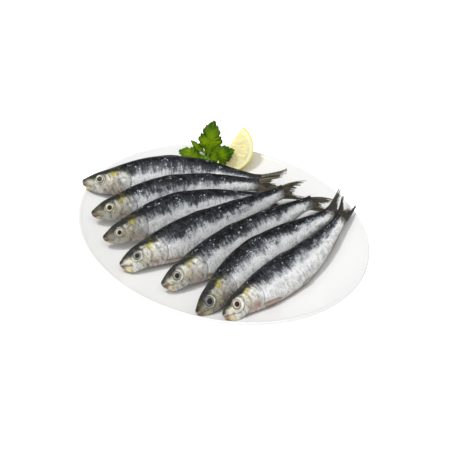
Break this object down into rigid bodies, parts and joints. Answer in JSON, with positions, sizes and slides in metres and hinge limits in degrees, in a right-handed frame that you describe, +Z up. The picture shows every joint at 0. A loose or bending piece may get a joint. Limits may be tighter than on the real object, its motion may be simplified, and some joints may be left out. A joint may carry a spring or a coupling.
{
  "type": "plate of sardines",
  "caption": "Oval coupe plate holding whole raw sardines fanned side by side, with a lemon wedge and a sprig of flat-leaf parsley.",
  "frame": {"origin": "centre of the foot of the plate, on the surface it stands on", "axes": "+Z up, +X along the plate's long axis, +Y towards the side where the lemon and the fish tails lie"},
  "size_m": [0.2611, 0.206, 0.051],
  "materials": {
    "glaze": "glossy white glaze",
    "sardine_skin": "wet silver skin, blue-black along the back",
    "lemon": "yellow rind with pale wet flesh",
    "parsley": "fresh green leaf, slightly glossy"
  },
  "bodies": {
    "root": {"plate": "glaze", "sardine_1": "sardine_skin", "sardine_2": "sardine_skin", "sardine_3": "sardine_skin", "sardine_4": "sardine_skin", "sardine_5": "sardine_skin", "sardine_6": "sardine_skin", "sardine_7": "sardine_skin", "lemon_wedge": "lemon", "parsley_stem": "parsley", "parsley_leaf_centre": "parsley", "parsley_leaf_left": "parsley", "parsley_leaf_right": "parsley", "parsley_leaf_spike": "parsley"}
  },
  "joints": []
}
